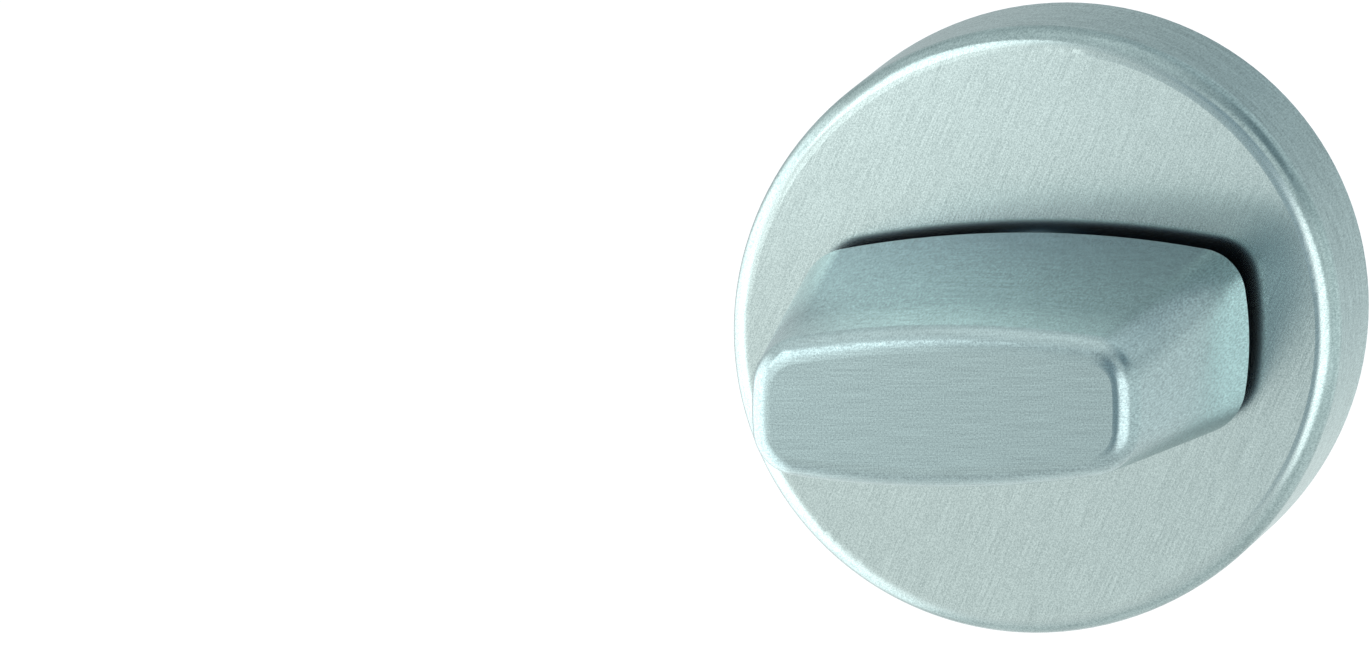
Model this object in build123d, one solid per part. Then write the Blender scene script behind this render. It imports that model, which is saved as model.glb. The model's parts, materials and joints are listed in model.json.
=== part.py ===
from build123d import *
import math
import os

# Thumbturn of a bathroom door lock on a round clip-on rose, in millimetres.
# Each piece is modelled with Z standing out of the door face, Y up the door and X across it.
# stand_up() then turns it, so that Z is up and the turn points along -Y.

# Rose cover, a cap drawn from sheet
ROSE_DIAMETER = 52.0
ROSE_HEIGHT = 10.0
COVER_WALL = 1.2
COVER_EDGE_RADIUS = 1.8
COVER_INNER_CHAMFER = 0.5
COVER_HOLE_CHAMFER = 0.25

# Turn, a drafted barrel-shaped grip on a collar and a round neck
TURN_LENGTH = 38.7
TURN_WIDTH = 18.65
TURN_HEIGHT = 23.8
SIDE_DRAFT = 6.4  # degrees
END_DRAFT = 7.5
TURN_GAP = 2.2  # between the rose and the underside of the grip
SIDE_ARC_RADIUS = 87.0
END_ARC_RADIUS = 28.0
CORNER_RADIUS = 4.2
TOP_EDGE_RADIUS = 2.0
BASE_EDGE_RADIUS = 0.4
COLLAR_OVERLAP = 0.4  # past the edge of the cover's hole
NECK_DIAMETER = 14.0
NECK_END_HEIGHT = 0.3  # the neck stops this far short of the door
NECK_END_CHAMFER = 0.3

# Spindle and its spring pin
SPINDLE_SIZE = 8.0
SPINDLE_REACH = 45.0  # behind the door face
SPINDLE_DEPTH = 12.0  # into the grip, past the neck
SPINDLE_EDGE = 0.3
SPINDLE_END_CHAMFER = 0.6
PIN_DIAMETER = 3.0
PIN_WALL = 0.6
PIN_SLOT = 0.7
PIN_END_GAP = 0.5  # below the neck's surface, at each end

# Neck bush
BUSH_WALL = 1.0
BUSH_SHOULDER = 1.2
BUSH_PROUD = 0.4  # in front of the cover

# Ring, washers and spring behind the hub
RING_GROOVE_DEPTH = 0.3
RING_GROOVE_LAND = 1.0
RING_THICKNESS = 1.0
RING_SECTION = 2.1
RING_LUG_DIAMETER = 3.5
RING_LUG_HOLE = 1.7
RING_OPENING = 2.4
WASHER_THICKNESS = 0.6
SPRING_THICKNESS = 0.3
SPRING_HEIGHT = 1.1

# Under-rose, a moulding
UNDER_WALL = 1.8
UNDER_SKIN = 1.8
UNDER_EDGE_CHAMFER = 0.8
HUB_WALL = 1.8
HUB_WEB = 1.2
RIB_WALL = 1.4
RIB_COUNT = 16
TONGUE_COUNT = 4
TONGUE_WIDTH = 6.0
TONGUE_LENGTH = 5.6
TONGUE_SLOT = 0.9
SNAP_HEIGHT = 2.6  # middle of the snap ridge above the door
SNAP_WIDTH = 1.6
SNAP_DEPTH = 0.45
LUG_CENTRES = 38.0
LUG_DIAMETER = 8.0
LUG_LENGTH = 8.0
LUG_CHAMFER = 0.6
BOSS_WALL = 2.0

# Fixing screws, M4 with a countersunk cross-recess head
SCREW_DIAMETER = 4.0
SCREW_SHANK_DIAMETER = 3.5
SCREW_LENGTH = 20.0
SCREW_HEAD_DIAMETER = 7.5
SCREW_HEAD_RIM = 0.3
SCREW_HEAD_HEIGHT = 5.0  # top of the head above the door
SCREW_TIP_CHAMFER = 0.6
RECESS_SPAN = 4.2
RECESS_SLOT = 0.9
RECESS_DEPTH = 2.1

# Clearances, each on the radius or on one side
RUNNING_CLEARANCE = 0.05
FIT_CLEARANCE = 0.1
SPIN_CLEARANCE = 0.6
HOLE_CLEARANCE = 0.25

# Heights above the door face and diameters that follow from the sizes above
COVER_SEAT = ROSE_HEIGHT - COVER_WALL
COVER_BORE = ROSE_DIAMETER - 2 * COVER_WALL
UNDER_DIAMETER = COVER_BORE - 2 * FIT_CLEARANCE
TURN_BASE = ROSE_HEIGHT + TURN_GAP
BUSH_BORE = NECK_DIAMETER + 2 * RUNNING_CLEARANCE
BUSH_SPIGOT = BUSH_BORE + 2 * BUSH_WALL
BUSH_DIAMETER = BUSH_SPIGOT + 2 * BUSH_SHOULDER
BUSH_FRONT = ROSE_HEIGHT + BUSH_PROUD
COVER_HOLE = BUSH_SPIGOT + 2 * FIT_CLEARANCE
COLLAR_DIAMETER = COVER_HOLE + 2 * COLLAR_OVERLAP
RING_BORE = NECK_DIAMETER - 2 * RING_GROOVE_DEPTH
RING_BOTTOM = NECK_END_HEIGHT + RING_GROOVE_LAND
RING_TOP = RING_BOTTOM + RING_THICKNESS
WASHER_TOP = RING_TOP + WASHER_THICKNESS
WEB_BACK = WASHER_TOP + SPRING_HEIGHT
WEB_FRONT = WEB_BACK + HUB_WEB
HUB_POCKET = RING_BORE + 2 * RING_LUG_DIAMETER + 2 * SPIN_CLEARANCE
HUB_DIAMETER = max(HUB_POCKET, BUSH_DIAMETER) + 2 * HUB_WALL
WASHER_DIAMETER = HUB_POCKET - 2 * SPIN_CLEARANCE
WASHER_BORE = NECK_DIAMETER + 2 * HOLE_CLEARANCE
SPRING_DIAMETER = WASHER_DIAMETER - 2 * HOLE_CLEARANCE
PIN_HEIGHT = (WEB_FRONT + COVER_SEAT) / 2
SPINDLE_TOP = TURN_BASE + SPINDLE_DEPTH
SCREW_POCKET = SCREW_HEAD_DIAMETER + 2 * HOLE_CLEARANCE
SCREW_HOLE = SCREW_DIAMETER + 2 * HOLE_CLEARANCE
BOSS_DIAMETER = SCREW_POCKET + 2 * BOSS_WALL


def disc(diameter, bottom, top):
    """Round bar on the Z axis between two heights."""
    bar = Cylinder(diameter / 2, top - bottom, align=(Align.CENTER, Align.CENTER, Align.MIN))
    return Pos(0, 0, bottom) * bar


def ring(outer, inner, bottom, top):
    """Round tube on the Z axis between two heights."""
    return disc(outer, bottom, top) - disc(inner, bottom, top)


def turned(points):
    """Solid of revolution about Z of a profile given as radius and height."""
    return revolve(make_face(Plane.XZ * Polyline(*points, close=True)), Axis.Z)


def snap_ridge(radius, depth, inset):
    """Ridge with sloping flanks round the Z axis, that the cover clips over."""
    half_foot = SNAP_WIDTH / 2 + inset
    half_crest = SNAP_WIDTH / 6 + inset
    return turned([
        (radius - UNDER_WALL / 2, SNAP_HEIGHT - half_foot),
        (radius, SNAP_HEIGHT - half_foot),
        (radius + depth, SNAP_HEIGHT - half_crest),
        (radius + depth, SNAP_HEIGHT + half_crest),
        (radius, SNAP_HEIGHT + half_foot),
        (radius - UNDER_WALL / 2, SNAP_HEIGHT + half_foot),
    ])


def rose_cover():
    """Cap with a rounded front edge, a hole for the bush and a snap groove inside its wall."""
    cap = disc(ROSE_DIAMETER, 0, ROSE_HEIGHT)
    cap = fillet(cap.edges().group_by(Axis.Z)[-1], COVER_EDGE_RADIUS)
    inside = disc(COVER_BORE, 0, COVER_SEAT)
    inside = chamfer(inside.edges().group_by(Axis.Z)[-1], COVER_INNER_CHAMFER)
    cap = cap - inside - disc(COVER_HOLE, COVER_SEAT, ROSE_HEIGHT)
    cap = cap - snap_ridge(COVER_BORE / 2, SNAP_DEPTH, FIT_CLEARANCE)
    hole_edge = cap.edges().group_by(Axis.Z)[-1].sort_by(SortBy.LENGTH)[0]
    return chamfer(hole_edge, COVER_HOLE_CHAMFER)


def screw_places():
    """The two fixing points, on the rose's horizontal centre line."""
    return [Pos(side * LUG_CENTRES / 2, 0, 0) for side in (-1, 1)]


def tongue_places():
    """The snap tongues, halfway between the fixing points and the vertical."""
    step = 360 / TONGUE_COUNT
    return [Rot(0, 0, step * (index + 0.5)) for index in range(TONGUE_COUNT)]


def under_rose_hollow():
    """The space behind the skin, between the outer wall, the hub, the ribs and the bosses."""
    skin_back = COVER_SEAT - UNDER_SKIN
    inner = UNDER_DIAMETER - 2 * UNDER_WALL
    hollow = ring(inner, HUB_DIAMETER, 0, skin_back)
    step = 360 / RIB_COUNT
    rib = Box(inner / 2, RIB_WALL, skin_back, align=(Align.MIN, Align.CENTER, Align.MIN))
    hollow -= [Rot(0, 0, step * (index + 0.5)) * rib for index in range(RIB_COUNT)]
    return hollow - [place * disc(BOSS_DIAMETER, 0, skin_back) for place in screw_places()]


def snap_tongue():
    """Snap ridge across one tongue, lying along +X."""
    reach = ROSE_DIAMETER / 2
    wedge = Box(reach, TONGUE_WIDTH, COVER_SEAT, align=(Align.MIN, Align.CENTER, Align.MIN))
    outline = UNDER_DIAMETER / 2
    return snap_ridge(outline, SNAP_DEPTH, 0) & wedge


def tongue_slots():
    """The two slots that free one tongue from the outer wall, lying along +X."""
    reach = ROSE_DIAMETER / 2
    start = UNDER_DIAMETER / 2 - UNDER_WALL
    slot = Box(reach - start, TONGUE_SLOT, TONGUE_LENGTH, align=(Align.MIN, Align.MIN, Align.MIN))
    right = Pos(start - UNDER_WALL / 2, TONGUE_WIDTH / 2, 0) * slot
    return [right, mirror(right, Plane.XZ)]


def support_lug():
    """Round peg behind the door face that takes the pull of the screws' holes."""
    lug = disc(LUG_DIAMETER, -LUG_LENGTH, 0)
    return chamfer(lug.edges().group_by(Axis.Z)[0], LUG_CHAMFER)


def screw_way():
    """Pocket, countersink and hole for one fixing screw."""
    head_radius = SCREW_HEAD_DIAMETER / 2
    hole_radius = SCREW_HOLE / 2
    seat = SCREW_HEAD_HEIGHT - SCREW_HEAD_RIM
    way = turned([
        (0, seat),
        (head_radius, seat),
        (hole_radius, seat - (head_radius - hole_radius)),
        (0, seat - (head_radius - hole_radius)),
    ])
    return way + disc(SCREW_POCKET, seat, COVER_SEAT) + disc(SCREW_HOLE, -LUG_LENGTH, seat)


def under_rose():
    """Moulded base: skin, outer wall with snap tongues, hub, ribs, bosses and support lugs."""
    base = disc(UNDER_DIAMETER, 0, COVER_SEAT)
    base = chamfer(base.edges().group_by(Axis.Z)[-1], UNDER_EDGE_CHAMFER)
    base -= under_rose_hollow()
    for place in tongue_places():
        base -= [place * slot for slot in tongue_slots()]
        base += place * snap_tongue()
    base -= disc(BUSH_DIAMETER + 2 * FIT_CLEARANCE, WEB_FRONT, COVER_SEAT)
    base -= disc(NECK_DIAMETER + 2 * SPIN_CLEARANCE, WEB_BACK, WEB_FRONT)
    base -= disc(HUB_POCKET, 0, WEB_BACK)
    for place in screw_places():
        base += place * support_lug()
        base -= place * screw_way()
    return base


def neck_bush():
    """Flanged bearing, trapped under the cover, whose front end the collar runs on."""
    bush = ring(BUSH_DIAMETER, BUSH_BORE, WEB_FRONT, COVER_SEAT)
    return bush + ring(BUSH_SPIGOT, BUSH_BORE, COVER_SEAT, BUSH_FRONT)


def flank_cone(x, y, radius, draft):
    """Cone that one drafted flank is part of, standing at the grip's foot."""
    inset = TURN_HEIGHT * math.tan(math.radians(draft))
    cone = Cone(radius, radius - inset, TURN_HEIGHT, align=(Align.CENTER, Align.CENTER, Align.MIN))
    return Pos(x, y, TURN_BASE) * cone


def grip():
    """Drafted grip between two long and two short arched flanks, with rounded corners and edges."""
    side = SIDE_ARC_RADIUS - TURN_WIDTH / 2
    end = END_ARC_RADIUS - TURN_LENGTH / 2
    sides = [flank_cone(0, place, SIDE_ARC_RADIUS, SIDE_DRAFT) for place in (side, -side)]
    ends = [flank_cone(place, 0, END_ARC_RADIUS, END_DRAFT) for place in (end, -end)]
    body = sides[0] & sides[1] & ends[0] & ends[1]
    corners = [edge for edge in body.edges() if abs((edge @ 1).Z - (edge @ 0).Z) > TURN_HEIGHT / 2]
    body = fillet(corners, CORNER_RADIUS)
    body = fillet(body.edges().group_by(Axis.Z)[-1], TOP_EDGE_RADIUS)
    return fillet(body.edges().group_by(Axis.Z)[0], BASE_EDGE_RADIUS)


def square_bar(size, bottom, top):
    """Square bar on the Z axis between two heights."""
    return Pos(0, 0, bottom) * Box(size, size, top - bottom, align=(Align.CENTER, Align.CENTER, Align.MIN))


def cross_hole():
    """Hole across the neck and the spindle for the pin."""
    return Pos(0, 0, PIN_HEIGHT) * Rot(0, 90, 0) * Cylinder(PIN_DIAMETER / 2, 2 * NECK_DIAMETER)


def thumbturn():
    """Grip, collar and neck in one, with the ring groove, the spindle's socket and the pin's hole."""
    neck = disc(NECK_DIAMETER, NECK_END_HEIGHT, BUSH_FRONT)
    neck = chamfer(neck.edges().group_by(Axis.Z)[0], NECK_END_CHAMFER)
    turn = grip() + disc(COLLAR_DIAMETER, BUSH_FRONT, TURN_BASE) + neck
    turn -= ring(NECK_DIAMETER + 1, RING_BORE, RING_BOTTOM, RING_TOP + FIT_CLEARANCE)
    turn -= square_bar(SPINDLE_SIZE + 2 * FIT_CLEARANCE, NECK_END_HEIGHT, SPINDLE_TOP + FIT_CLEARANCE)
    return turn - cross_hole()


def spindle():
    """Square bar with eased edges and a turned end, drilled for the pin."""
    section = RectangleRounded(SPINDLE_SIZE, SPINDLE_SIZE, SPINDLE_EDGE)
    bar = extrude(Pos(0, 0, -SPINDLE_REACH) * section, SPINDLE_REACH + SPINDLE_TOP)
    tip_radius = SPINDLE_SIZE / 2 - SPINDLE_END_CHAMFER
    swing = SPINDLE_SIZE
    envelope = turned([
        (0, -SPINDLE_REACH),
        (tip_radius, -SPINDLE_REACH),
        (swing, swing - tip_radius - SPINDLE_REACH),
        (swing, SPINDLE_TOP),
        (0, SPINDLE_TOP),
    ])
    return (bar & envelope) - cross_hole()


def spindle_pin():
    """Slotted spring pin across the neck."""
    length = NECK_DIAMETER - 2 * PIN_END_GAP
    section = Circle(PIN_DIAMETER / 2) - Circle(PIN_DIAMETER / 2 - PIN_WALL)
    section -= Pos(PIN_DIAMETER / 2, 0) * Rectangle(PIN_DIAMETER, PIN_SLOT)
    pin = extrude(section, length / 2, both=True)
    return Pos(0, 0, PIN_HEIGHT) * Rot(0, 90, 0) * pin


def spring_washer():
    """Washer bent about one line, as high as the space between the web and the thrust washer."""
    blank = ring(SPRING_DIAMETER, WASHER_BORE, WASHER_TOP, WEB_BACK)
    rise = SPRING_HEIGHT - SPRING_THICKNESS
    bend = (SPRING_HEIGHT**2 - SPRING_THICKNESS**2 + (SPRING_DIAMETER / 2) ** 2) / (2 * rise)
    outer = Rot(90, 0, 0) * Cylinder(bend, ROSE_DIAMETER)
    inner = Rot(90, 0, 0) * Cylinder(bend - SPRING_THICKNESS, ROSE_DIAMETER)
    return blank & Pos(0, 0, WEB_BACK - bend) * (outer - inner)


def thrust_washer():
    """Flat washer that the spring washer presses on."""
    return ring(WASHER_DIAMETER, WASHER_BORE, RING_TOP, WASHER_TOP)


def retaining_ring():
    """Open spring ring, thickest opposite its opening, with two drilled lugs."""
    inner = RING_BORE / 2
    lug_radius = RING_LUG_DIAMETER / 2
    lug_x = RING_OPENING / 2 + lug_radius
    lug_y = -math.sqrt((inner + lug_radius) ** 2 - lug_x**2)
    taper = RING_SECTION / 5
    shape = Pos(0, taper) * Circle(inner + RING_SECTION - taper)
    shape += [Pos(side * lug_x, lug_y) * Circle(lug_radius) for side in (-1, 1)]
    shape -= Circle(inner)
    shape -= Pos(0, -2 * inner) * Rectangle(RING_OPENING, 4 * inner)
    shape -= [Pos(side * lug_x, lug_y) * Circle(RING_LUG_HOLE / 2) for side in (-1, 1)]
    return extrude(Pos(0, 0, RING_BOTTOM) * shape, RING_THICKNESS)


def cross_recess():
    """Cross-shaped recess, cut down from the top of the head."""
    slot = Box(RECESS_SPAN, RECESS_SLOT, RECESS_DEPTH, align=(Align.CENTER, Align.CENTER, Align.MAX))
    return slot + Rot(0, 0, 90) * slot


def fixing_screw():
    """Countersunk screw with a reduced shank, and its thread beyond the lug as a plain cylinder."""
    head_radius = SCREW_HEAD_DIAMETER / 2
    shank_radius = SCREW_SHANK_DIAMETER / 2
    thread_radius = SCREW_DIAMETER / 2
    rim = SCREW_HEAD_HEIGHT - SCREW_HEAD_RIM
    tip = SCREW_HEAD_HEIGHT - SCREW_LENGTH
    screw = turned([
        (0, SCREW_HEAD_HEIGHT),
        (head_radius, SCREW_HEAD_HEIGHT),
        (head_radius, rim),
        (shank_radius, rim - (head_radius - shank_radius)),
        (shank_radius, -LUG_LENGTH),
        (thread_radius, -LUG_LENGTH),
        (thread_radius, tip + SCREW_TIP_CHAMFER),
        (thread_radius - SCREW_TIP_CHAMFER, tip),
        (0, tip),
    ])
    return screw - Pos(0, 0, SCREW_HEAD_HEIGHT) * cross_recess()


def stand_up(piece):
    """Turns a piece from the door's axes to the part's own, with Z up and the front along -Y."""
    return Rot(90, 0, 0) * piece


def main():
    left, right = screw_places()
    pieces = {
        "rose_cover": rose_cover(),
        "under_rose": under_rose(),
        "neck_bush": neck_bush(),
        "thumbturn": thumbturn(),
        "spindle": spindle(),
        "spindle_pin": spindle_pin(),
        "spring_washer": spring_washer(),
        "thrust_washer": thrust_washer(),
        "retaining_ring": retaining_ring(),
        "fixing_screw_left": left * fixing_screw(),
        "fixing_screw_right": right * fixing_screw(),
    }
    os.makedirs("parts", exist_ok=True)
    for name, piece in pieces.items():
        export_step(stand_up(piece), os.path.join("parts", name + ".step"))


if __name__ == "__main__":
    main()
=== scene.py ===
import bmesh
import bpy
import json
import math
from mathutils import Matrix, Vector


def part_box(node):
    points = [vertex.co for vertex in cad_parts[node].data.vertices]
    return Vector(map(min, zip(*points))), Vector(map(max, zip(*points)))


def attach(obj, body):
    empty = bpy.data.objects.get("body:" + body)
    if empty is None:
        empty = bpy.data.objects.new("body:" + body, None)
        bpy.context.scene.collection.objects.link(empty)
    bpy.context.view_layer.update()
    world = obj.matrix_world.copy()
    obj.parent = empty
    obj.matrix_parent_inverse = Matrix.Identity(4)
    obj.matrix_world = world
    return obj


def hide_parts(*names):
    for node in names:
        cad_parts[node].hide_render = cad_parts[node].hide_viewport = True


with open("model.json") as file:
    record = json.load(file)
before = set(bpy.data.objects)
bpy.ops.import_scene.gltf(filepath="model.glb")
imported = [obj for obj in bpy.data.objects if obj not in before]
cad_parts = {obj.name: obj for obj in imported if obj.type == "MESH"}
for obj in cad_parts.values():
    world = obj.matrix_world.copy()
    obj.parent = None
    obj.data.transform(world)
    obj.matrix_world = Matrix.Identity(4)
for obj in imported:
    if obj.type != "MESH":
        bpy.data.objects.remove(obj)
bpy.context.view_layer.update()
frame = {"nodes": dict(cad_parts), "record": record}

MM = 0.001

# The photograph's framing, and its scale at the rose's front face
IMAGE_WIDTH = 1372
IMAGE_HEIGHT = 648
PIXELS_PER_MM = 11.69
AXIS_PIXEL = (1032.2, 333.7)  # where the turn's axis meets that face
VIEW_SIDE = 0.312  # how far the camera stands to the right for each unit in front
VIEW_UP = 0.25  # and how far above
LENS = 600.0
SENSOR = 36.0
FAR_CLIP = 100.0

# Brushing of the cover and the turn
FACE_GRAIN_TILT = math.radians(23)  # of the hairlines on the rose, from the vertical
HAIRLINE_WIDTH = 0.10 * MM
HAIRLINE_LENGTH = 5.0 * MM
HAIRLINE_DEPTHWAYS = 0.4 * MM  # its width along the turn's axis, which the view foreshortens
UNCHANGING = 1.0  # a size so large that a grain stays the same along it
SPECKLE = (0.13 * MM, 0.45 * MM, 0.13 * MM)
COVER_SPECKLE = 0.6  # share of the speckle in the grain
TURN_SPECKLE = 0.65
COVER_SPREAD = 0.65  # how much further the brushing spreads a reflection across its lines
TURN_SPREAD = 0.5
QUARTER_TURN = 0.25

# How squarely a surface faces a way where a look of the brushed metal, a painted shade or a painted
# highlight starts and where it is full
FACE_SHADE = (0.8, 0.97)
FACE_LINES = (0.3, 0.6)
LONG_SIDE = (0.945, 0.994)
OFF_FRONT = (0.45, 0.85)
TO_ROSE = (0.5, 0.9)

# Painted shade and painted highlight that change along the grip, by the distance behind its front
FOOT_SHADE_SHARE = 0.9  # the largest share of painted shade
FOOT_SHADE_DEPTHS = (3 * MM, 24 * MM)
# where the painted highlight on the front edges fades out
EDGE_HIGHLIGHT_DEPTHS = (0.5 * MM, 7 * MM)
UNDERSIDE_SHADE_DEPTHS = (24 * MM, 25 * MM)  # just past its underside

# Finishes: sizes of grain, clouds and lines, then two shades and two values of roughness between
# which these vary, and the strength and height of the relief
NOISE_MIDDLE = (0.3, 0.7)  # where most of a noise lies
BRUSHED_RELIEF = (0.06, 0.01 * MM)
FACE_SHADES = ((0.36, 0.45, 0.445), (0.67, 0.80, 0.79))
# the rim's shades are darker than the face's by painted shade
SHADED_RIM_SHADES = ((0.26, 0.35, 0.35), (0.54, 0.68, 0.675))
COVER_ROUGHNESS = (0.23, 0.18)
TURN_SHADES = ((0.26, 0.34, 0.35), (0.50, 0.65, 0.66))
# painted shade for the foot of the grip's long sides
FOOT_SHADE_SHADES = ((0.095, 0.140, 0.17), (0.165, 0.24, 0.29))
# painted highlight for the grip's front edges
EDGE_HIGHLIGHT_SHADES = ((0.44, 0.55, 0.55), (0.68, 0.85, 0.85))
# painted shade, near black with a blue tint, on the grip's underside
UNDERSIDE_SHADE_COLOUR = (0.014, 0.036, 0.070)
TURN_ROUGHNESS = (0.27, 0.20)
MOULDING_GRAIN = (0.12 * MM,) * 3
MOULDING_CLOUD = (6 * MM,) * 3
MOULDING_SHADES = ((0.040, 0.041, 0.045), (0.062, 0.063, 0.068))
MOULDING_ROUGHNESS = (0.5, 0.66)
MOULDING_RELIEF = (0.25, 0.03 * MM)
ACETAL_GRAIN = (0.2 * MM,) * 3
ACETAL_CLOUD = (3 * MM,) * 3
ACETAL_SHADES = ((0.74, 0.74, 0.70), (0.82, 0.82, 0.79))
ACETAL_ROUGHNESS = (0.34, 0.44)
ACETAL_RELIEF = (0.06, 0.02 * MM)
ZINC_LINES = (0.14 * MM, 12 * MM, 0.14 * MM)
ZINC_LINE_SHARE = 0.6  # in the roughness, beside the cloud's
ZINC_CLOUD = (4 * MM,) * 3
ZINC_SHADES = ((0.50, 0.52, 0.56), (0.64, 0.65, 0.66))
ZINC_ROUGHNESS = (0.24, 0.42)
ZINC_RELIEF = (0.15, 0.01 * MM)
PHOSPHATE_GRAIN = (0.15 * MM,) * 3
PHOSPHATE_CLOUD = (1.5 * MM,) * 3
PHOSPHATE_SHADES = ((0.10, 0.10, 0.11), (0.19, 0.19, 0.20))
PHOSPHATE_ROUGHNESS = (0.38, 0.55)
PHOSPHATE_RELIEF = (0.2, 0.015 * MM)
PLASTIC_IOR = 1.48

# Studio, as metal reflects it: each glow has a direction, where it starts and is full, and a tone
STUDIO_DIM = (0.26, 0.34, 0.38)
STUDIO_GLOWS = {
    "left_back": ((-0.75, 0.60, 0.25), 0.10, 0.90, (0.60, 0.66, 0.67)),
    "left_front": ((-0.80, -0.55, -0.30), 0.05, 0.78, (0.95, 0.96, 0.945)),
    "above": ((-0.20, -0.25, 0.95), 0.50, 0.95, (0.80, 0.84, 0.85)),
    "right_side": ((0.95, -0.15, -0.25), 0.75, 0.95, (0.78, 0.82, 0.82)),
    "right_high": ((0.46, 0.66, 0.60), 0.87, 0.96, (0.62, 0.70, 0.73)),
    "right_back": ((0.75, 0.30, -0.59), 0.25, 0.85, (0.99, 1.05, 1.05)),
    "back_low": ((-0.15, 0.65, -0.75), 0.74, 0.88, (0.98, 1.06, 1.05)),
    "right_front": ((0.62, -0.70, 0.36), 0.90, 0.97, (0.80, 0.85, 0.86)),
    "below": ((0.0, 0.0, -1.0), 0.35, 0.85, (0.85, 0.87, 0.87)),
    "lens": ((VIEW_SIDE, -1, VIEW_UP), 0.955, 0.975, (0.32, 0.41, 0.47)),
    "stand": ((0.12, -0.97, -0.12), 0.93, 0.97, (0.33, 0.42, 0.47)),
    "right_box": ((0.60, -0.765, -0.223), 0.885, 0.955, (2.0, 2.0, 2.0)),
    "left_box": ((-0.93, -0.10, -0.30), 0.64, 0.906, (2.4, 2.4, 2.4)),
}
SOFTBOXES = {  # place, size and power
    "key_light": ((-0.35, -0.45, 0.30), 0.40, 0.6),
    "near_light": ((-0.15, -0.30, 0.0), 0.12, 0.03),
}
AMBIENT = (0.55, 0.56, 0.58)
WHITE = (1.0, 1.0, 1.0)
PAPER = (0.9, 0.9, 0.9)
FLOOR_GLOW = 0.55  # what the floor adds for the camera, to be white
FLOOR_HALF = 6.0
FLOOR_LEVEL = -0.14

# Fixing screws
SCREW_HEAD_RIM = 0.3 * MM
SHANK_RADIUS = 1.75 * MM
THREAD_RADIUS = 2.0 * MM
THREAD_LENGTH = 7.0 * MM
THREAD_PITCH = 0.7 * MM
THREAD_DEPTH = 0.43 * MM
THREAD_PROFILE = ((0.0, 0), (0.25, 0), (0.5625, 1), (0.6875, 1))  # shares of the pitch and of the depth
TIP_RADIUS = 1.4 * MM
RECESS_REACH = 2.1 * MM
RECESS_HALF_SLOT = 0.45 * MM
RECESS_DEPTH = 2.1 * MM
SCREW_STEPS = 40  # round one turn
WELD = 0.001 * MM
SHARP_ANGLE = math.radians(30)


def add(tree, kind, inputs=None, **settings):
    """Adds one shader node, with its settings, and its inputs as values or as other nodes' outputs."""
    made = tree.nodes.new(kind)
    for key, value in settings.items():
        setattr(made, key, value)
    for key, value in (inputs or {}).items():
        if isinstance(value, bpy.types.NodeSocket):
            tree.links.new(value, made.inputs[key])
        else:
            made.inputs[key].default_value = value
    return made


def new_material(name):
    """A material with only its output, ready for a shader."""
    material = bpy.data.materials.new(name)
    material.use_nodes = True
    material.node_tree.nodes.clear()
    add(material.node_tree, "ShaderNodeOutputMaterial")
    return material


def new_object(name, data):
    """An object in the scene, on a mesh, a light or a camera, or on none."""
    made = bpy.data.objects.new(name, data)
    bpy.context.scene.collection.objects.link(made)
    return made


def set_surface(tree, shader):
    tree.links.new(shader, tree.nodes["Material Output"].inputs["Surface"])


def object_place(tree):
    """Coordinates that keep to the piece wherever it turns."""
    return add(tree, "ShaderNodeTexCoord").outputs["Object"]


def noise(tree, size, turn=(0, 0, 0), detail=2.0):
    """Noise from 0 to 1 with features of the given size along each axis, turned by some angles."""
    inputs = {"Vector": object_place(tree), "Rotation": turn, "Scale": size}
    place = add(tree, "ShaderNodeMapping", inputs, vector_type="TEXTURE").outputs["Vector"]
    inputs = {"Vector": place, "Scale": 1.0, "Detail": detail}
    return add(tree, "ShaderNodeTexNoise", inputs).outputs["Fac"]


def math_node(tree, operation, first, second):
    return add(tree, "ShaderNodeMath", {0: first, 1: second}, operation=operation).outputs[0]


def blend_values(tree, share, first, second):
    return add(tree, "ShaderNodeMix", {0: share, 2: first, 3: second}).outputs[0]


def ramp(tree, value, limits, low=0.0, high=1.0):
    """Runs from low to high as a value goes from one limit to the other, and stays level beyond them."""
    start, stop = limits
    inputs = {"Value": value, "From Min": start, "From Max": stop, "To Min": low, "To Max": high}
    return add(tree, "ShaderNodeMapRange", inputs).outputs["Result"]


def tint(tree, share, dark, light):
    """Colour between two shades, each a colour or another node's output."""
    shades = [x if isinstance(x, bpy.types.NodeSocket) else (*x, 1) for x in (dark, light)]
    inputs = {0: share, 6: shades[0], 7: shades[1]}
    return add(tree, "ShaderNodeMix", inputs, data_type="RGBA").outputs[2]


def bump(tree, height, strength, distance):
    inputs = {"Height": height, "Strength": strength, "Distance": distance}
    return add(tree, "ShaderNodeBump", inputs).outputs["Normal"]


def mottled(tree, grain, cloud, shades, roughness, relief):
    """Colour that follows a cloud, and roughness and relief that follow a grain."""
    colour = tint(tree, ramp(tree, cloud, NOISE_MIDDLE), *shades)
    return colour, ramp(tree, grain, NOISE_MIDDLE, *roughness), bump(tree, grain, *relief)


def metal(material, colour, roughness, normal, **brushing):
    """Metal shader on a finish's colour, roughness and relief, and on its brushing where it has some."""
    tree = material.node_tree
    inputs = {"Base Color": colour, "Metallic": 1.0, "Roughness": roughness, "Normal": normal}
    set_surface(tree, add(tree, "ShaderNodeBsdfPrincipled", inputs | brushing).outputs["BSDF"])
    return material


def brushed(lines, spread_across):
    """Shader inputs for brushing along the given lines."""
    return {"Tangent": lines, "Anisotropic": spread_across, "Anisotropic Rotation": QUARTER_TURN}


def plastic(material, colour, roughness, normal):
    """Plastic shader on a finish's colour, roughness and relief."""
    tree = material.node_tree
    inputs = {"Base Color": colour, "Roughness": roughness, "Normal": normal, "IOR": PLASTIC_IOR}
    set_surface(tree, add(tree, "ShaderNodeBsdfPrincipled", inputs).outputs["BSDF"])
    return material


def facing(tree, axis):
    """How far a surface faces along one of the piece's axes, from -1 to 1; the room is at -Y."""
    normal = add(tree, "ShaderNodeTexCoord").outputs["Normal"]
    return add(tree, "ShaderNodeSeparateXYZ", {"Vector": normal}).outputs[axis]


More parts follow.
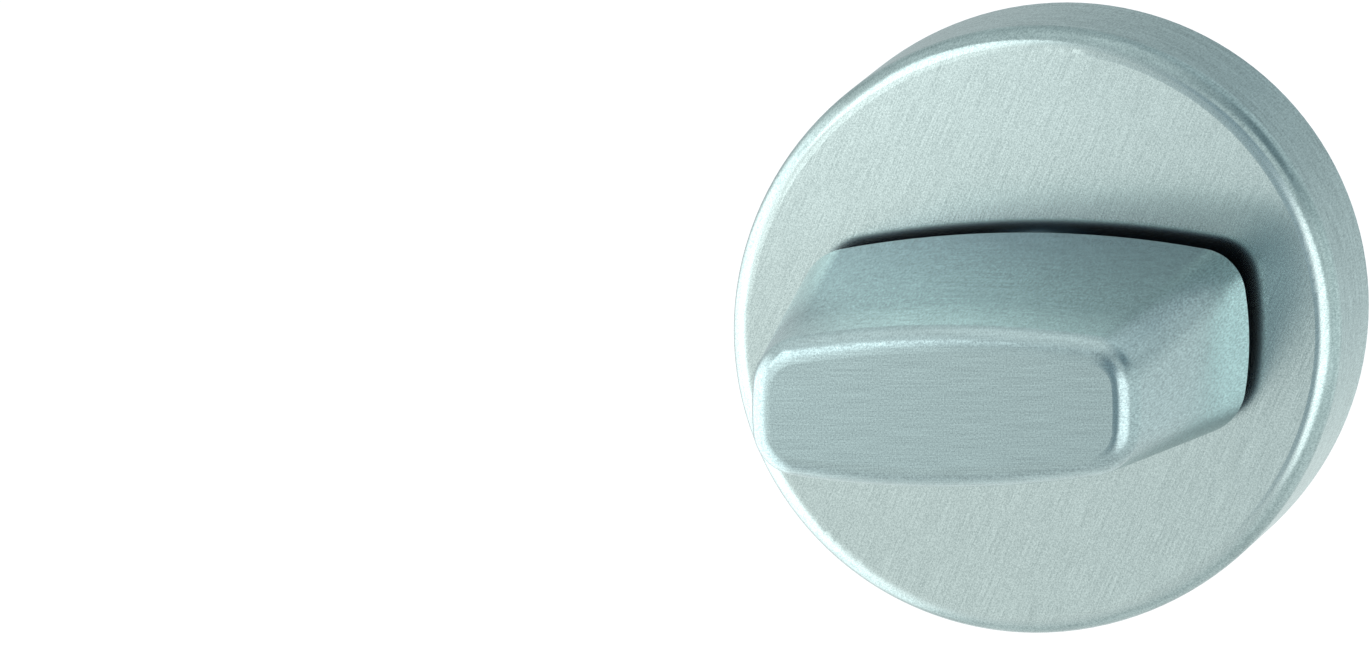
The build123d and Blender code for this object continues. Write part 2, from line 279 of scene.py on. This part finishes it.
def facing_either_way(tree, axis):
    """How far a surface faces either way along an axis, from 0 to 1."""
    return math_node(tree, "ABSOLUTE", facing(tree, axis), 0.0)


def straight_lines(tree, direction):
    """Direction of straight brushing, which turns with the piece."""
    settings = {"vector_type": "VECTOR", "convert_from": "OBJECT", "convert_to": "WORLD"}
    return add(tree, "ShaderNodeVectorTransform", {"Vector": direction}, **settings).outputs["Vector"]


def blend_lines(tree, share, first, second):
    inputs = {0: share, 4: first, 5: second}
    return add(tree, "ShaderNodeMix", inputs, data_type="VECTOR").outputs[1]


def brushed_grain(tree, lines, speckle_share):
    """Hairlines with the fine speckle of a satin finish."""
    speckle = noise(tree, SPECKLE, detail=1.0)
    return blend_values(tree, speckle_share, lines, speckle)


def cover_steel():
    """Satin steel with straight hairlines across the face and lines round the rim, whose colour is
    darkened by painted shade.
    """
    material = new_material("cover_steel_brushed")
    tree = material.node_tree
    frontal = facing_either_way(tree, "Y")
    flat = ramp(tree, frontal, FACE_SHADE)
    face = noise(tree, (HAIRLINE_WIDTH, UNCHANGING, HAIRLINE_LENGTH), (0, FACE_GRAIN_TILT, 0))
    rim = noise(tree, (HAIRLINE_LENGTH, HAIRLINE_DEPTHWAYS, HAIRLINE_LENGTH))
    grain = brushed_grain(tree, blend_values(tree, flat, rim, face), COVER_SPECKLE)
    share = ramp(tree, grain, NOISE_MIDDLE)
    # painted shade: the rim takes darker shades than the face
    colour = tint(tree, flat, tint(tree, share, *SHADED_RIM_SHADES), tint(tree, share, *FACE_SHADES))
    roughness = ramp(tree, grain, NOISE_MIDDLE, *COVER_ROUGHNESS)
    straight = straight_lines(tree, (math.sin(FACE_GRAIN_TILT), 0, math.cos(FACE_GRAIN_TILT)))
    round_axis = add(tree, "ShaderNodeTangent", direction_type="RADIAL", axis="Y").outputs["Tangent"]
    lines = blend_lines(tree, ramp(tree, frontal, FACE_LINES), round_axis, straight)
    relief = bump(tree, grain, *BRUSHED_RELIEF)
    return metal(material, colour, roughness, relief, **brushed(lines, COVER_SPREAD))


def along_grip(tree, depths, low, high):
    """Value that runs from low to high between two distances behind the grip's front."""
    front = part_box("thumbturn")[0][1]
    place = add(tree, "ShaderNodeSeparateXYZ", {"Vector": object_place(tree)}).outputs["Y"]
    return ramp(tree, place, [front + depth for depth in depths], low, high)


def painted_foot_shade(tree):
    """Share of painted shade, most at the foot of the grip's long sides, next to the rose."""
    on_side = ramp(tree, facing_either_way(tree, "Z"), LONG_SIDE)
    return math_node(tree, "MULTIPLY", on_side, along_grip(tree, FOOT_SHADE_DEPTHS, 0.0, FOOT_SHADE_SHARE))


def painted_edge_highlight(tree):
    """Share of painted highlight, most on the grip's long front edges."""
    off_front = ramp(tree, facing_either_way(tree, "Z"), OFF_FRONT)
    return math_node(tree, "MULTIPLY", off_front, along_grip(tree, EDGE_HIGHLIGHT_DEPTHS, 1.0, 0.0))


def painted_underside_shade(tree):
    """1 on the grip's underside, which faces the rose and gets a dark painted shade."""
    to_rose = ramp(tree, facing(tree, "Y"), TO_ROSE)
    return math_node(tree, "MULTIPLY", to_rose, along_grip(tree, UNDERSIDE_SHADE_DEPTHS, 1.0, 0.0))


def turn_steel():
    """Satin metal with fine lines along the grip, with painted shade at the foot of its long sides and
    on the side that faces the rose, and a painted highlight on its front edges.
    """
    material = new_material("turn_steel_brushed")
    tree = material.node_tree
    hairlines = noise(tree, (HAIRLINE_LENGTH, HAIRLINE_DEPTHWAYS, HAIRLINE_WIDTH))
    grain = brushed_grain(tree, hairlines, TURN_SPECKLE)
    share = ramp(tree, grain, NOISE_MIDDLE)
    steel = tint(tree, share, *TURN_SHADES)
    shaded_foot = tint(tree, share, *FOOT_SHADE_SHADES)
    highlighted_edge = tint(tree, share, *EDGE_HIGHLIGHT_SHADES)
    # painted shade at the foot of the long sides, and painted highlight on the front edges
    colour = tint(tree, painted_edge_highlight(tree), tint(tree, painted_foot_shade(tree), steel, shaded_foot), highlighted_edge)
    # painted shade on the grip's underside
    colour = tint(tree, painted_underside_shade(tree), colour, UNDERSIDE_SHADE_COLOUR)
    roughness = ramp(tree, grain, NOISE_MIDDLE, *TURN_ROUGHNESS)
    relief = bump(tree, grain, *BRUSHED_RELIEF)
    lines = straight_lines(tree, (1, 0, 0))
    return metal(material, colour, roughness, relief, **brushed(lines, TURN_SPREAD))


def moulding():
    """Dark moulded plastic with the fine grain of a spark-eroded tool."""
    material = new_material("moulding_grained")
    tree = material.node_tree
    grain = noise(tree, MOULDING_GRAIN, detail=3.0)
    cloud = noise(tree, MOULDING_CLOUD)
    look = mottled(tree, grain, cloud, MOULDING_SHADES, MOULDING_ROUGHNESS, MOULDING_RELIEF)
    return plastic(material, *look)


def bearing_plastic():
    """Natural acetal, smooth, with faint moulding flow in its colour."""
    material = new_material("bearing_plastic_acetal")
    tree = material.node_tree
    grain = noise(tree, ACETAL_GRAIN)
    cloud = noise(tree, ACETAL_CLOUD)
    look = mottled(tree, grain, cloud, ACETAL_SHADES, ACETAL_ROUGHNESS, ACETAL_RELIEF)
    return plastic(material, *look)


def plated_steel():
    """Zinc-plated steel, with drawing lines along the spindle and cloudy passivation."""
    material = new_material("plated_steel_zinc")
    tree = material.node_tree
    lines = noise(tree, ZINC_LINES)
    cloud = noise(tree, ZINC_CLOUD, detail=3.0)
    colour = tint(tree, ramp(tree, cloud, NOISE_MIDDLE), *ZINC_SHADES)
    both = blend_values(tree, ZINC_LINE_SHARE, cloud, lines)
    roughness = ramp(tree, both, NOISE_MIDDLE, *ZINC_ROUGHNESS)
    return metal(material, colour, roughness, bump(tree, lines, *ZINC_RELIEF))


def spring_steel():
    """Dark phosphated spring steel with a mottled, oily surface."""
    material = new_material("spring_steel_phosphated")
    tree = material.node_tree
    grain = noise(tree, PHOSPHATE_GRAIN, detail=3.0)
    cloud = noise(tree, PHOSPHATE_CLOUD, detail=3.0)
    look = mottled(tree, grain, cloud, PHOSPHATE_SHADES, PHOSPHATE_ROUGHNESS, PHOSPHATE_RELIEF)
    return metal(material, *look)


def dress_nodes():
    """Gives each CAD node the finish of its material slot."""
    makers = (cover_steel, turn_steel, moulding, bearing_plastic, plated_steel, spring_steel)
    finishes = {maker.__name__: maker() for maker in makers}
    for row in frame["record"]["subparts"]:
        node = frame["nodes"][row["node"]]
        node.data.materials.clear()
        node.data.materials.append(finishes[row["material_slot"]])
    return finishes


def screw_angles():
    """Angles round a screw, with the corners of its recess among them."""
    corner = math.atan2(RECESS_HALF_SLOT, RECESS_REACH)
    even = [math.tau * step / SCREW_STEPS for step in range(SCREW_STEPS)]
    arms = [math.pi / 2 * arm + side * corner for arm in range(4) for side in (-1, 1)]
    return sorted(even + [angle % math.tau for angle in arms]) + [math.tau]


def recess_radius(angle):
    """How far the cross recess reaches at an angle from one of its arms."""
    along, across = sorted((abs(math.cos(angle)), abs(math.sin(angle))), reverse=True)
    return min(RECESS_REACH / along, RECESS_HALF_SLOT / across if across else RECESS_REACH)


def thread_row(angles, start, end, lead, height):
    """One turn of a line along the thread, kept between the shank and the chamfered tip."""
    row = []
    for angle in angles:
        depth = start + lead + THREAD_PITCH * (angle / math.tau - 1)
        depth = min(max(depth, start), end)
        radius = THREAD_RADIUS - THREAD_DEPTH * (1 - height)
        radius = min(radius, TIP_RADIUS + end - depth)
        row.append((SHANK_RADIUS if depth == start else radius, depth))
    return row


def screw_rows(angles, top, tip, head_radius):
    """Rows of radius and depth from the recess over the head and along the thread to the tip."""
    rim = top + SCREW_HEAD_RIM
    thread = tip - THREAD_LENGTH
    recess = [recess_radius(angle) for angle in angles]
    rows = [[(0, top + RECESS_DEPTH)] * len(angles)]
    rows += [[(radius, depth) for radius in recess] for depth in (top + RECESS_DEPTH, top)]
    outline = [(head_radius, top), (head_radius, rim), (SHANK_RADIUS, rim + head_radius - SHANK_RADIUS)]
    rows += [[point] * len(angles) for point in outline]
    for turn in range(math.ceil(THREAD_LENGTH / THREAD_PITCH) + 1):
        for share, height in THREAD_PROFILE:
            rows.append(thread_row(angles, thread, tip, (turn + share) * THREAD_PITCH, height))
    return rows + [[(0, tip)] * len(angles)]


def loft(name, angles, rows, x, z):
    """Mesh object through rows of points round an axis along Y."""
    shape = bmesh.new()
    grid = []
    for row in rows:
        points = [(x + r * math.cos(a), y, z + r * math.sin(a)) for a, (r, y) in zip(angles, row)]
        grid.append([shape.verts.new(point) for point in points])
    for first, second in zip(grid, grid[1:]):
        for near in range(len(angles) - 1):
            shape.faces.new((first[near], first[near + 1], second[near + 1], second[near]))
    bmesh.ops.remove_doubles(shape, verts=shape.verts, dist=WELD)
    bmesh.ops.recalc_face_normals(shape, faces=shape.faces)
    mesh = bpy.data.meshes.new(name)
    shape.to_mesh(mesh)
    shape.free()
    mesh.polygons.foreach_set("use_smooth", [True] * len(mesh.polygons))
    mesh.set_sharp_from_angle(angle=SHARP_ANGLE)
    return new_object(name, mesh)


def add_screws(finish):
    """Screws with a real thread in the place of the plain ones."""
    angles = screw_angles()
    for side in ("left", "right"):
        node = "fixing_screw_" + side
        low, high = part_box(node)
        x, z = (low[0] + high[0]) / 2, (low[2] + high[2]) / 2
        rows = screw_rows(angles, low[1], high[1], (high[0] - low[0]) / 2)
        screw = loft("threaded_screw_" + side, angles, rows, x, z)
        screw.data.materials.append(finish)
        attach(screw, "rose")
        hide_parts(node)


def seen_directly(tree):
    """1 for rays that show the surroundings to the eye, 0 for the others."""
    path = add(tree, "ShaderNodeLightPath").outputs
    return math_node(tree, "MAXIMUM", path["Is Camera Ray"], path["Is Transmission Ray"])


def seen_in_metal(tree):
    return add(tree, "ShaderNodeLightPath").outputs["Is Glossy Ray"]


def studio_tones(tree, direction):
    """Tone of the studio in a direction from the object, as its metal reflects it."""
    tone = STUDIO_DIM
    for axis, start, stop, glow in STUDIO_GLOWS.values():
        inputs = {0: direction, 1: Vector(axis).normalized()}
        near = add(tree, "ShaderNodeVectorMath", inputs, operation="DOT_PRODUCT").outputs["Value"]
        tone = tint(tree, ramp(tree, near, (start, stop)), tone, glow)
    return tone


def light_world():
    """White to the eye, studio tones to metal and an even light to all else."""
    world = bpy.data.worlds.new("studio")
    bpy.context.scene.world = world
    world.use_nodes = True
    tree = world.node_tree
    direction = add(tree, "ShaderNodeTexCoord").outputs["Generated"]
    level = tint(tree, seen_in_metal(tree), AMBIENT, studio_tones(tree, direction))
    level = tint(tree, seen_directly(tree), level, WHITE)
    tree.links.new(level, tree.nodes["Background"].inputs["Color"])


def add_lights():
    """Square softboxes that face the object."""
    for name, (place, size, power) in SOFTBOXES.items():
        lamp = bpy.data.lights.new(name, "AREA")
        lamp.shape = "SQUARE"
        lamp.size = size
        lamp.energy = power
        light = new_object(name, lamp)
        light.location = place
        light.rotation_euler = (-Vector(place)).to_track_quat("-Z", "Y").to_euler()
        light.visible_camera = False


def floor_paper():
    """Pale paper, white to the eye, in whose place metal reflects the studio's tones."""
    material = new_material("floor_paper")
    tree = material.node_tree
    paper = add(tree, "ShaderNodeBsdfDiffuse", {"Color": (*PAPER, 1)}).outputs["BSDF"]
    strength = math_node(tree, "MULTIPLY", seen_directly(tree), FLOOR_GLOW)
    glow = add(tree, "ShaderNodeEmission", {"Color": (*WHITE, 1), "Strength": strength})
    paper = add(tree, "ShaderNodeAddShader", {0: paper, 1: glow.outputs["Emission"]}).outputs["Shader"]
    inputs = {0: object_place(tree)}
    direction = add(tree, "ShaderNodeVectorMath", inputs, operation="NORMALIZE").outputs["Vector"]
    studio = add(tree, "ShaderNodeEmission", {"Color": studio_tones(tree, direction)})
    inputs = {0: seen_in_metal(tree), 1: paper, 2: studio.outputs["Emission"]}
    set_surface(tree, add(tree, "ShaderNodeMixShader", inputs).outputs["Shader"])
    return material


def add_floor():
    """Plain floor that keeps the object's shadow."""
    mesh = bpy.data.meshes.new("floor")
    sides = ((-1, -1), (1, -1), (1, 1), (-1, 1))
    corners = [(x * FLOOR_HALF, y * FLOOR_HALF, FLOOR_LEVEL) for x, y in sides]
    mesh.from_pydata(corners, [], [(0, 1, 2, 3)])
    mesh.materials.append(floor_paper())
    floor = new_object("floor", mesh)


def place_camera():
    """Long lens with its film parallel to the rose, which the photograph shows as a true circle."""
    across = (IMAGE_WIDTH / 2 - AXIS_PIXEL[0]) / PIXELS_PER_MM * MM
    up = (AXIS_PIXEL[1] - IMAGE_HEIGHT / 2) / PIXELS_PER_MM * MM
    rose_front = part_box("rose_cover")[0][1]
    distance = IMAGE_WIDTH * LENS / (SENSOR * PIXELS_PER_MM) * MM
    back = Vector((VIEW_SIDE, -1, VIEW_UP)).normalized()
    place = Vector((across, rose_front, up)) + back * distance
    data = bpy.data.cameras.new("camera")
    data.lens = LENS
    data.sensor_width = SENSOR
    data.clip_end = FAR_CLIP
    camera = new_object("camera", data)
    camera.parent = new_object("camera_rig", None)
    columns = Matrix(((1, 0, 0, 0), (0, 0, 1, 0), (*back, 0), (*place, 1)))
    camera.matrix_parent_inverse = columns.transposed()
    bpy.context.scene.camera = camera


bpy.context.scene.view_settings.view_transform = "Standard"
finishes = dress_nodes()
add_screws(finishes["plated_steel"])
light_world()
add_lights()
add_floor()
place_camera()
